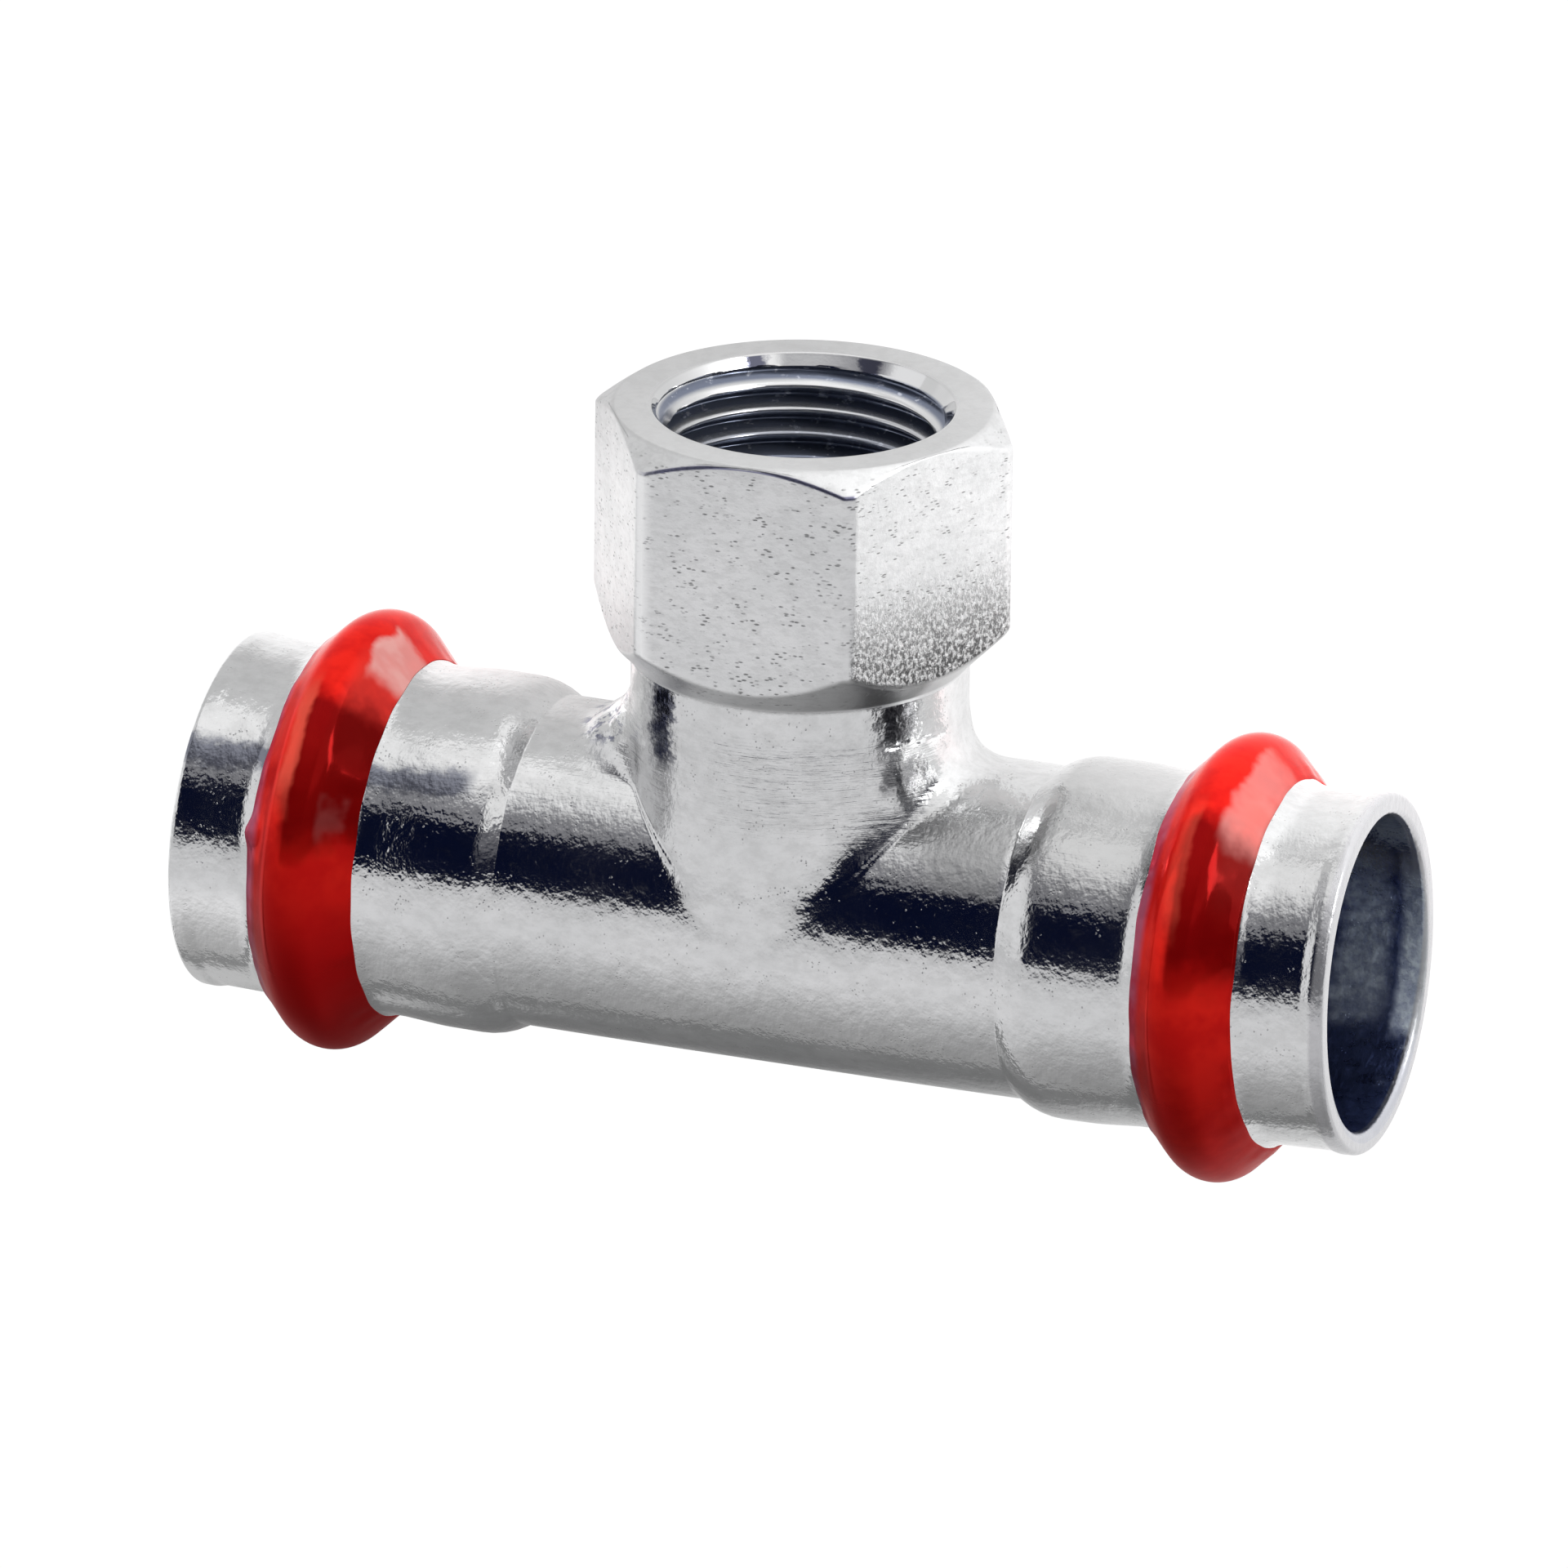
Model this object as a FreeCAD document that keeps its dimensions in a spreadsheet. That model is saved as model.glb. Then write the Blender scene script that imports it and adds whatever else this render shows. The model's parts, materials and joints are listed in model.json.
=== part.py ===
import FreeCAD, Part
import math
import os
import Sketcher

# Press tee with a female threaded branch, lying on its side
# +X runs along the tube, +Y up the branch and +Z away from the table, in millimetres.
# The fitting rests on its two red rings and one corner of the hexagon, so the two axes
# cross above the table, and the origin lies below the middle of its bounding box.

doc = FreeCAD.newDocument("press_tee")
sheet = doc.addObject("Spreadsheet::Sheet", "Sizes")

SIZES = {
    # run tube
    "half_length": 43.0,
    "tube_radius": 11.85,
    "tube_wall": 1.5,
    "socket_length": 21.3,
    "stop_step": 0.85,
    "socket_swell": 0.2,
    "stop_depth": 21.0,
    "step_length": 3.4,
    "step_foot": 1.4,
    "collar_wall": 1.45,
    "rim_swell": 0.1,
    "rim_flare": 1.6,
    "rim_width": 0.6,
    "rim_round": 0.45,
    # bead round the seal
    "bead_depth": 10.05,
    "bead_rise": 2.95,
    "bead_crown": 2.4,
    "bead_foot": 1.8,
    "bead_wall": 1.5,
    # seal ring
    "seal_bite": 0.2,
    "seal_squeeze": 0.06,
    "seal_room": 0.12,
    # indicator film
    "film_thick": 0.26,
    "film_short": 0.39,
    # branch and its weld
    "branch_inset": 0.05,
    "branch_wall": 1.6,
    "joint_rise": 1.35,
    "joint_land": 0.75,
    "joint_bevel": 1.15,
    "seam_round": 2.6,
    # threaded end
    "neck_step": 0.2,
    "neck_length": 5.4,
    "hex_height": 18.45,
    "hex_across": 27.0,
    "hex_corner_cut": 0.288,
    "hex_turn": 2.0,
    "face_inset": 0.15,
    "face_drop": 1.35,
    "thread_minor": 9.3155,
    "thread_depth": 16.5,
    "throat_step": 0.3155,
    "sink_width": 1.4345,
    "sink_depth": 0.85,
}

row = 0
for name, number in SIZES.items():
    row += 1
    sheet.set("A%d" % row, name)
    sheet.set("B%d" % row, str(number))
    sheet.setAlias("B%d" % row, name)
doc.recompute()


class Size:
    """A length held both as a number and as a formula over the sheet's cells."""

    def __init__(self, number, text):
        self.number = number
        self.text = text

    def join(self, other, sign, number):
        return Size(number, "(%s %s %s)" % (self.text, sign, other.text))

    def __add__(self, other):
        return self.join(other, "+", self.number + other.number)

    def __sub__(self, other):
        return self.join(other, "-", self.number - other.number)

    def __mul__(self, other):
        return self.join(other, "*", self.number * other.number)

    def __truediv__(self, other):
        return self.join(other, "/", self.number / other.number)

    def root(self):
        return Size(math.sqrt(self.number), "sqrt(%s)" % self.text)


def size(name):
    """A cell of the sheet."""
    return Size(SIZES[name], "Sizes." + name)


ZERO = Size(0.0, "0")
TWO = Size(2.0, "2")
THREE = Size(3.0, "3")
DIAGONAL = Size(math.sqrt(0.5), "sqrt(0.5)")

half_length = size("half_length")
tube_radius = size("tube_radius")
tube_bore = tube_radius - size("tube_wall")
socket_bore = tube_bore + size("stop_step")
collar_radius = socket_bore + size("collar_wall")
rim_round = size("rim_round")
bead_place = half_length - size("bead_depth")
bead_radius = collar_radius + size("bead_rise")
film_thick = size("film_thick")
film_reach = bead_radius + film_thick
branch_radius = tube_radius - size("branch_inset")
branch_bore = branch_radius - size("branch_wall")
joint_height = tube_radius + size("joint_rise")
joint_root = branch_bore + size("joint_land")
joint_bevel = size("joint_bevel")
neck_radius = branch_radius + size("neck_step")
hex_foot = joint_height + size("neck_length")
face_height = hex_foot + size("hex_height")
lift_y = (film_reach - face_height) / TWO
lift_z = film_reach


def new_body(label, turned=False):
    """A body whose own origin is where the two axes cross; turned faces it to the left end."""
    body = doc.addObject("PartDesign::Body", label)
    body.Label = label
    angle = 180.0 if turned else 0.0
    spin = FreeCAD.Rotation(FreeCAD.Vector(0, 1, 0), angle)
    body.Placement = FreeCAD.Placement(FreeCAD.Vector(0, 0, 0), spin)
    body.setExpression("Placement.Base.y", lift_y.text)
    body.setExpression("Placement.Base.z", lift_z.text)
    return body


def origin_part(body, role):
    """One of the body's own origin planes or axes."""
    for feature in body.Origin.OriginFeatures:
        if feature.Role == role:
            return feature
    return None


def outline(body, name, corners, plane="XY_Plane"):
    """A closed sketch through corners (x, y), or (x, y, radius, side) where an arc leaves the corner.

    Side is 1 where the arc's centre lies to the left of the way to the next corner, or -1.
    """
    sketch = body.newObject("Sketcher::SketchObject", name)
    sketch.AttachmentSupport = [(origin_part(body, plane), "")]
    sketch.MapMode = "FlatFace"
    ends = []
    for index, corner in enumerate(corners):
        after = corners[(index + 1) % len(corners)]
        start = FreeCAD.Vector(corner[0].number, corner[1].number, 0)
        stop = FreeCAD.Vector(after[0].number, after[1].number, 0)
        if len(corner) == 2:
            edge = sketch.addGeometry(Part.LineSegment(start, stop), False)
            ends.append((edge, 1, 2))
            continue
        radius = corner[2].number
        side = corner[3]
        way = stop - start
        reach = math.sqrt(max(radius ** 2 - way.Length ** 2 / 4, 0.0))
        across = FreeCAD.Vector(-way.y, way.x, 0).normalize() * reach * side
        centre = (start + stop) * 0.5 + across
        first, last = (start, stop) if side > 0 else (stop, start)
        begin = math.atan2(first.y - centre.y, first.x - centre.x)
        finish = math.atan2(last.y - centre.y, last.x - centre.x)
        circle = Part.Circle(centre, FreeCAD.Vector(0, 0, 1), radius)
        edge = sketch.addGeometry(Part.ArcOfCircle(circle, begin, finish), False)
        ends.append((edge, 1, 2) if side > 0 else (edge, 2, 1))
        rule = sketch.addConstraint(Sketcher.Constraint("Radius", edge, radius))
        sketch.setExpression("Constraints[%d]" % rule, corner[2].text)
    for index, corner in enumerate(corners):
        before = ends[index - 1]
        edge, point, _ = ends[index]
        sketch.addConstraint(Sketcher.Constraint("Coincident", before[0], before[2], edge, point))
        for kind, axis, place in (("DistanceX", -2, corner[0]), ("DistanceY", -1, corner[1])):
            if place is ZERO:
                sketch.addConstraint(Sketcher.Constraint("PointOnObject", edge, point, axis))
                continue
            rule = sketch.addConstraint(Sketcher.Constraint(kind, -1, 1, edge, point, place.number))
            sketch.setExpression("Constraints[%d]" % rule, place.text)
    sketch.Visibility = False
    return sketch


def turn(body, kind, name, corners, axis):
    """An outline swept a full turn round a body axis, added (Revolution) or cut away (Groove)."""
    feature = body.newObject("PartDesign::" + kind, name)
    feature.Profile = outline(body, name + "_outline", corners)
    feature.ReferenceAxis = (origin_part(body, axis), [""])
    feature.Angle = 360.0
    body.Tip = feature
    return feature


def mirror(body, name, feature):
    """The same feature again on the left half."""
    copy = body.newObject("PartDesign::Mirrored", name)
    copy.Originals = [feature]
    copy.MirrorPlane = (origin_part(body, "YZ_Plane"), [""])
    body.Tip = copy
    return copy


# Bead section, shared by the tube and the film
# A round crown, a straight flank at 45 degrees on each side and a round foot on the collar.
bead_crown = size("bead_crown")
bead_foot = size("bead_foot")
crown_centre = bead_radius - bead_crown
crown_half = bead_crown * DIAGONAL
crown_edge = crown_centre + crown_half
foot_centre = collar_radius + bead_foot
foot_edge = foot_centre - bead_foot * DIAGONAL
flank_half = crown_half + crown_edge - foot_edge
foot_half = flank_half + bead_foot * DIAGONAL


# Run tube with its two press sockets and the drawn collar of the branch
tee = new_body("tee_body")
step_foot = size("step_foot")
step_long = size("step_length")
step_outer = half_length - size("socket_length")
step_inner = step_outer - step_long
socket_radius = collar_radius + size("socket_swell")
step_rise = socket_radius - tube_radius
step_sum = (step_long * step_long + step_rise * step_rise) / (TWO * step_rise)
step_share = step_foot / step_sum
step_head = step_sum - step_foot
rim_radius = collar_radius + size("rim_swell")
rim_start = half_length - size("rim_flare")
rim_inner = half_length - size("rim_width")

outside = [
    (ZERO, ZERO),
    (half_length, ZERO),
    (half_length, rim_radius - rim_round, rim_round, 1),
    (half_length - rim_round, rim_radius),
    (rim_inner, rim_radius),
    (rim_start, collar_radius),
    (bead_place + foot_half, collar_radius, bead_foot, -1),
    (bead_place + flank_half, foot_edge),
    (bead_place + crown_half, crown_edge, bead_crown, 1),
    (bead_place - crown_half, crown_edge),
    (bead_place - flank_half, foot_edge, bead_foot, -1),
    (bead_place - foot_half, collar_radius),
    (step_outer, socket_radius, step_head, 1),
    (step_inner + step_long * step_share, tube_radius + step_rise * step_share, step_foot, -1),
    (step_inner, tube_radius),
    (ZERO, tube_radius),
]
tube = turn(tee, "Revolution", "tube", outside, "X_Axis")
doc.recompute()
mirror(tee, "tube_left", tube)
doc.recompute()

collar = [
    (ZERO, ZERO),
    (branch_radius, ZERO),
    (branch_radius, joint_height - joint_bevel),
    (joint_root, joint_height),
    (ZERO, joint_height),
]
turn(tee, "Revolution", "drawn_collar", collar, "Y_Axis")
doc.recompute()

groove_radius = bead_radius - size("bead_wall")
groove_deep = groove_radius - socket_bore
groove_corner = groove_deep / THREE
groove_lip = groove_corner / TWO
seal_inner = socket_bore - size("seal_bite")
seal_section = (groove_radius + size("seal_squeeze") - seal_inner) / TWO
groove_half = seal_section + size("seal_room")
stop_place = half_length - size("stop_depth")
stop_rise = socket_bore - tube_bore
stop_long = step_long
stop_round = (stop_long * stop_long + stop_rise * stop_rise) / (TWO * TWO * stop_rise)
inside = [
    (ZERO, ZERO),
    (half_length, ZERO),
    (half_length, socket_bore + rim_round, rim_round, 1),
    (half_length - rim_round, socket_bore),
    (bead_place + groove_half + groove_lip, socket_bore, groove_lip, -1),
    (bead_place + groove_half, socket_bore + groove_lip),
    (bead_place + groove_half, groove_radius - groove_corner, groove_corner, 1),
    (bead_place + groove_half - groove_corner, groove_radius),
    (bead_place - groove_half + groove_corner, groove_radius, groove_corner, 1),
    (bead_place - groove_half, groove_radius - groove_corner),
    (bead_place - groove_half, socket_bore + groove_lip, groove_lip, -1),
    (bead_place - groove_half - groove_lip, socket_bore),
    (stop_place, socket_bore, stop_round, 1),
    (stop_place - stop_long / TWO, socket_bore - stop_rise / TWO, stop_round, -1),
    (stop_place - stop_long, tube_bore),
    (ZERO, tube_bore),
]
bore = turn(tee, "Groove", "bore", inside, "X_Axis")
doc.recompute()
mirror(tee, "bore_left", bore)
doc.recompute()

opening = [
    (ZERO, ZERO),
    (branch_bore, ZERO),
    (branch_bore, joint_height + joint_bevel),
    (ZERO, joint_height + joint_bevel),
]
turn(tee, "Groove", "branch_opening", opening, "Y_Axis")
doc.recompute()


# Threaded end: a turned neck, a hexagon and a female pipe thread
# The thread itself is left out: the bore has the thread's smallest radius.
end = new_body("threaded_branch")
end.Placement = FreeCAD.Placement(
    end.Placement.Base, FreeCAD.Rotation(FreeCAD.Vector(0, 1, 0), SIZES["hex_turn"])
)
end.setExpression("Placement.Rotation.Angle", size("hex_turn").text)
hex_across = size("hex_across")
hex_corner = hex_across / THREE.root() - size("hex_corner_cut")
face_radius = hex_across / TWO - size("face_inset")
blank = [
    (ZERO, joint_height),
    (joint_root, joint_height),
    (neck_radius, joint_height + joint_bevel),
    (neck_radius, hex_foot),
    (hex_corner, hex_foot + hex_corner - neck_radius),
    (hex_corner, face_height - size("face_drop")),
    (face_radius, face_height),
    (ZERO, face_height),
]
turn(end, "Revolution", "blank", blank, "Y_Axis")
doc.recompute()

flat = end.newObject("PartDesign::Pocket", "flat")
flat_edge = hex_across / TWO
flat.Profile = outline(end, "flat_outline", [
    (ZERO - hex_corner, flat_edge),
    (hex_corner, flat_edge),
    (hex_corner, hex_corner + film_thick),
    (ZERO - hex_corner, hex_corner + film_thick),
], "XZ_Plane")
flat.Type = "ThroughAll"
flat.Midplane = True
end.Tip = flat
doc.recompute()

flats = end.newObject("PartDesign::PolarPattern", "flats")
flats.Originals = [flat]
flats.Axis = (origin_part(end, "Y_Axis"), [""])
flats.Angle = 360.0
flats.Occurrences = 6
end.Tip = flats
doc.recompute()

thread_minor = size("thread_minor")
thread_floor = face_height - size("thread_depth")
neck_bore = thread_minor - size("throat_step")
sink_radius = thread_minor + size("sink_width")
through = [
    (ZERO, joint_height - joint_bevel),
    (neck_bore, joint_height - joint_bevel),
    (neck_bore, thread_floor - joint_bevel),
    (thread_minor, thread_floor),
    (thread_minor, face_height - size("sink_depth")),
    (sink_radius, face_height),
    (sink_radius, face_height + joint_bevel),
    (ZERO, face_height + joint_bevel),
]
turn(end, "Groove", "thread_bore", through, "Y_Axis")
doc.recompute()


# Weld seam that fills the bevels between the drawn collar and the neck
seam = new_body("weld_seam")
turn(seam, "Revolution", "seam", [
    (joint_root, joint_height),
    (branch_radius, joint_height - joint_bevel, size("seam_round"), 1),
    (neck_radius, joint_height + joint_bevel),
], "Y_Axis")
doc.recompute()


# Rubber seal ring, pressed a little flat against the top of the groove
seal_centre = seal_inner + seal_section
seal_top = groove_radius - seal_centre
seal_flat = (seal_section * seal_section - seal_top * seal_top).root()


def seal(label, turned):
    """One seal ring."""
    body = new_body(label, turned)
    turn(body, "Revolution", label + "_ring", [
        (bead_place + seal_flat, groove_radius),
        (bead_place - seal_flat, groove_radius, seal_section, 1),
        (bead_place, seal_centre - seal_section, seal_section, 1),
    ], "X_Axis")
    doc.recompute()


seal("seal_right", False)
seal("seal_left", True)


# Red film drawn over the bead, which tears off once the joint is pressed
film_run = size("film_short")
film_half = foot_half - film_run
film_slant = film_thick * DIAGONAL
film_drop = (bead_foot * bead_foot - film_run * film_run).root()
film_share = (bead_foot - film_thick) / bead_foot
film_foot = bead_foot - film_thick


def film(label, turned):
    """One ring of film, as thick all over, lying on the bead from foot to foot."""
    body = new_body(label, turned)
    turn(body, "Revolution", label + "_ring", [
        (bead_place + film_half, foot_centre - film_drop),
        (bead_place + foot_half - film_run * film_share, foot_centre - film_drop * film_share, film_foot, -1),
        (bead_place + flank_half + film_slant, foot_edge + film_slant),
        (bead_place + crown_half + film_slant, crown_edge + film_slant, bead_crown + film_thick, 1),
        (bead_place - crown_half - film_slant, crown_edge + film_slant),
        (bead_place - flank_half - film_slant, foot_edge + film_slant, film_foot, -1),
        (bead_place - foot_half + film_run * film_share, foot_centre - film_drop * film_share),
        (bead_place - film_half, foot_centre - film_drop, bead_foot, 1),
        (bead_place - flank_half, foot_edge),
        (bead_place - crown_half, crown_edge, bead_crown, -1),
        (bead_place + crown_half, crown_edge),
        (bead_place + flank_half, foot_edge, bead_foot, 1),
    ], "X_Axis")
    doc.recompute()


film("indicator_right", False)
film("indicator_left", True)


# Check of every feature, then one file for each sub-part
doc.recompute()
for item in doc.Objects:
    if "Invalid" in item.State or "Error" in item.State:
        raise RuntimeError("%s did not recompute: %s" % (item.Label, item.State))

os.makedirs("parts", exist_ok=True)
for body in doc.Objects:
    if body.TypeId != "PartDesign::Body":
        continue
    if body.Shape.isNull() or not body.Shape.isValid():
        raise RuntimeError("%s has no valid shape" % body.Label)
    body.Shape.exportStep("parts/%s.step" % body.Label)
    box = body.Shape.BoundBox
    print("%-16s volume %9.1f  x %.2f %.2f  y %.2f %.2f  z %.2f %.2f" % (
        body.Label, body.Shape.Volume, box.XMin, box.XMax, box.YMin, box.YMax, box.ZMin, box.ZMax))
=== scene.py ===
import json
import math

import bmesh
import bpy
import numpy as np
from mathutils import Matrix, Vector


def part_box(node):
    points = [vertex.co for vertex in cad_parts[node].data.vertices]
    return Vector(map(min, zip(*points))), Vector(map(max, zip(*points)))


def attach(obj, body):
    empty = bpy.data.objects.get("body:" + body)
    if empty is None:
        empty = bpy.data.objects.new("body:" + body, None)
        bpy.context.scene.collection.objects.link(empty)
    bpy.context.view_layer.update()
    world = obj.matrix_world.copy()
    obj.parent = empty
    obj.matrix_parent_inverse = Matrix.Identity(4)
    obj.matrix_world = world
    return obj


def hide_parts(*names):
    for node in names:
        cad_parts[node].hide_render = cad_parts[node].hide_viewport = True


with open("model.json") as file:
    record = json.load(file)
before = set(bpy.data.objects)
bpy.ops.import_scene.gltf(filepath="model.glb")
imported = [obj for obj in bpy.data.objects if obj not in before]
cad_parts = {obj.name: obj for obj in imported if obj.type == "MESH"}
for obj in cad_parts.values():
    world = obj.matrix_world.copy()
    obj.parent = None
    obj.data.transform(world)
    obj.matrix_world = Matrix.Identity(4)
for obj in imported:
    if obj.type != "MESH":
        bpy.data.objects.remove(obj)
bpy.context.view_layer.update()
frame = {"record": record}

# Run tube
# Thin-walled steel pipe, opened at both ends into a press socket with a rolled bead for the
# seal, and drawn out at the middle into a collar for the branch. Bright zinc covers all of it.

# Lengths are in millimetres from where the two axes cross: x along the tube, y up the branch.
MILLIMETRE = 0.001
mounts = {mount["name"]: mount for mount in frame["record"]["mounts"]}
axis_height = mounts["press_socket_right"]["pos_m"][2] / MILLIMETRE
axis_place = mounts["press_socket_right"]["pos_m"][1] / MILLIMETRE
half_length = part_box("tee_body")[1].x / MILLIMETRE
socket_bore = mounts["press_socket_right"]["dims"]["r_mm"]

tube_radius = 11.85
tube_bore = 10.35
collar_radius = 12.65
socket_radius = 12.86
rim_radius = 12.78
mouth_places = {1: half_length + 0.2, -1: half_length - 0.12}
bead_place = half_length - 10.05
bead_apex = 16.594
bead_crown = 2.4
bead_foot = 2.5
groove_radius = 14.1
groove_half = 1.7
saddle_reach = 17.2
step_places = {1: 18.5, -1: 18.3}
neck_radius = 12.0
joint_height = 13.2
joint_root = 10.95
columns = 216
inner_reach = 13.0

bow_start = 6.0
bow_rise = 0.55 / (half_length - bow_start) ** 2
bow_height = 16.0


def placed(points):
    """Points of the fitting in the row frame: the welding's heat has drawn both ends of the run
    towards the branch, by bow_rise times the square of the distance past bow_start. The cross
    sections lean with the bow, by its slope times the height above the run's axis."""
    x, y, z = np.moveaxis(points, -1, 0)
    past = np.maximum(np.abs(x) - bow_start, 0.0)
    lean = 2.0 * bow_rise * past * np.sign(x) * np.minimum(y, bow_height)
    lift = bow_rise * past ** 2
    return np.stack([x - lean, y + lift + axis_place, z + axis_height], axis=-1) * MILLIMETRE


def smooth_step(value):
    """0 below 0, 1 above 1, and 3v^2 - 2v^3 between."""
    share = np.clip(value, 0.0, 1.0)
    return share * share * (3.0 - 2.0 * share)


def rounded_line(corners, gap=1.2, facet=math.radians(8.0)):
    """Points along straight runs joined by tangent arcs. A corner is (along, out, round), and
    its arc meets each run at round times the tangent of half the turn from the corner."""
    line = [np.array([corners[0][:2]], float)]
    for before, corner, after in zip(corners, corners[1:], corners[2:]):
        tip = np.array(corner[:2], float)
        back = np.array(before[:2], float) - tip
        onward = np.array(after[:2], float) - tip
        back /= np.linalg.norm(back)
        onward /= np.linalg.norm(onward)
        turn = math.pi - math.acos(np.clip(back @ onward, -1.0, 1.0))
        cut = corner[2] * math.tan(turn / 2.0)
        inward = (back + onward) / np.linalg.norm(back + onward)
        centre = tip + inward * corner[2] / math.cos(turn / 2.0)
        steps = max(2, math.ceil(turn / facet))
        share = np.arange(steps + 1)[:, None] / steps
        first = np.sin((1.0 - share) * turn) * (tip + back * cut - centre)
        last = np.sin(share * turn) * (tip + onward * cut - centre)
        line.append(centre + (first + last) / math.sin(turn))
    line.append(np.array([corners[-1][:2]], float))
    ends = np.vstack(line)
    full = [ends[:1]]
    for start, stop in zip(ends[:-1], ends[1:]):
        steps = max(1, math.ceil(np.linalg.norm(stop - start) / gap))
        full.append(start + (stop - start) * (np.arange(1, steps + 1)[:, None] / steps))
    return np.vstack(full)


# Lumps of weld metal left in the left crotch and at the front right: x, y, z, height and spread.
lumps = [
    (-13.7, 12.7, 0.6, 0.35, 0.75),
    (-14.0, 12.2, 2.4, 0.45, 0.70),
    (-13.7, 11.9, 4.1, 0.50, 0.65),
    (-12.8, 13.4, 1.9, 0.40, 0.70),
    (-12.4, 13.3, 4.2, 0.45, 0.65),
    (-12.1, 14.4, 3.0, 0.25, 0.60),
    (-11.9, 12.2, 5.9, 0.30, 0.60),
    (10.0, 12.5, 7.2, 0.42, 1.05),
    (11.7, 13.4, 4.6, 0.25, 0.90),
]

# The undercut along the top of the weld at the front right: its angles round the branch, the
# heights of its two ends, its depth and half its width.
notch_from, notch_to = math.radians(47.0), math.radians(79.0)
notch_start, notch_stop = 15.45, 15.0
notch_deep = 0.22
notch_half = 0.17

# The foot of the branch: its flare, the fillet round it and the ridge in its crease. Sines are of
# the direction round the branch, 0 at the front, and keys are 1 for the right, -1 for the left.
flare_foot = {1: 0.97, -1: 0.15}
flare_height = 4.6
flare_spread = 3.2
crotch_flare = 2.0
crotch_sine = 0.80
crotch_fade = 0.14
neck_start = 8.0
neck_rise = 6.0
fillet_edge = 0.14
fillet_front = 1.05
fillet_crotch = 2.2
front_reach = {1: 0.62, -1: 0.80}
front_rise = 3.0
ridge_high = 0.06
ridge_half = 0.11
ridge_from = 0.42
ridge_to = 0.88
ridge_fade = 0.10
lowest_flare = -0.6
below_axis = 1.5


def branch_wall(x, y, z):
    """Radius of the branch's outside at a point's height and direction: the tube's radius, which
    grows to the neck's, and a flare that falls off as the square of the height above the saddle.
    Towards the front the flare fades out, before it would stand in front of the run."""
    out = np.maximum(np.hypot(x, z), 0.001)
    sine, cosine = x / out, np.abs(z) / out
    room = tube_radius * (1.0 / np.maximum(cosine, 0.05) - 1.0)
    crotch = smooth_step((-sine - crotch_sine) / crotch_fade)
    side_foot = np.where(sine > 0.0, flare_foot[1], flare_foot[-1])
    foot = side_foot * smooth_step(room / flare_spread) + crotch_flare * crotch
    saddle = np.sqrt(np.maximum(tube_radius ** 2 - ((tube_radius + foot) * cosine) ** 2, 0.0))
    height = np.maximum(y - saddle, lowest_flare)
    flare = foot * np.clip(1.0 - height / flare_height, 0.0, None) ** 2
    grown = smooth_step((y - neck_start) / neck_rise)
    return tube_radius + (neck_radius - tube_radius) * grown + flare


def skin(points):
    """How far points lie outside the tee: the smaller of the distances from the run's wall and
    from the branch's wall, less a fillet that is wide in the crotches and at the front, less a
    thin ridge of zinc along the crease between them, less the lumps, and more in the notch."""
    x, y, z = np.moveaxis(points, -1, 0)
    run = np.hypot(y, z)
    branch = np.maximum(np.hypot(x, z), 0.001)
    from_run = run - tube_radius
    from_branch = branch - branch_wall(x, y, z) + below_axis * np.maximum(-y, 0.0)
    sine = np.abs(x) / branch
    crotch = smooth_step((sine - crotch_sine) / (1.0 - crotch_sine))
    reach = np.where(x < 0.0, front_reach[-1], front_reach[1])
    front = smooth_step(1.0 - sine / reach) * smooth_step((y - 1.0) / front_rise)
    fillet = fillet_edge + fillet_crotch * crotch + fillet_front * front
    apart = np.abs(from_run - from_branch)
    overlap = np.maximum(fillet - apart, 0.0)
    distance = np.minimum(from_run, from_branch) - overlap ** 2 / (4.0 * fillet)
    along = smooth_step((sine - ridge_from) / ridge_fade)
    along = along * smooth_step((ridge_to - sine) / ridge_fade)
    distance = distance - ridge_high * along * np.exp(-(apart / ridge_half) ** 2)
    for lump_x, lump_y, lump_z, height, spread in lumps:
        away = (x - lump_x) ** 2 + (y - lump_y) ** 2 + (z - lump_z) ** 2
        distance = distance - height * np.exp(-away / (2.0 * spread ** 2))
    # The notch runs raggedly from its one end to the other, and its depth comes and goes.
    share = (np.arctan2(x, z) - notch_from) / (notch_to - notch_from)
    ragged = 0.10 * np.sin(23.0 * share) + 0.07 * np.sin(61.0 * share + 1.0)
    level = notch_start + (notch_stop - notch_start) * share + ragged
    ends = smooth_step(6.0 * share) * smooth_step(6.0 * (1.0 - share))
    ends = ends * (0.65 + 0.35 * np.sin(43.0 * share))
    return distance + notch_deep * ends * np.exp(-((y - level) / notch_half) ** 2)


def settled(points, way):
    """Points slid along their ways until they lie on the skin, by Newton's steps."""
    nudge, steps, least_slope, longest = 0.0001, 10, 0.25, 1.0
    for _ in range(steps):
        gap = skin(points)
        slope = (skin(points + nudge * way) - gap) / nudge
        move = np.clip(gap / np.maximum(slope, least_slope), -longest, longest)
        points = points - way * move[..., None]
    return points


def round_run(x, radius, angle):
    """Points at a radius round the run's axis; angle 0 points up the branch, 90 degrees forward."""
    x, radius, angle = np.broadcast_arrays(x, radius, angle)
    return np.stack([x, radius * np.cos(angle), radius * np.sin(angle)], axis=-1)


def round_branch(y, radius, angle):
    """Points at a radius round the branch's axis; angle 0 points forward, 90 degrees right."""
    y, radius, angle = np.broadcast_arrays(y, radius, angle)
    return np.stack([radius * np.sin(angle), y, radius * np.cos(angle)], axis=-1)


def turned(start, stop, share):
    """Angles that go from start to stop by the shorter way."""
    return start + ((stop - start + math.pi) % (2.0 * math.pi) - math.pi) * share


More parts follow.
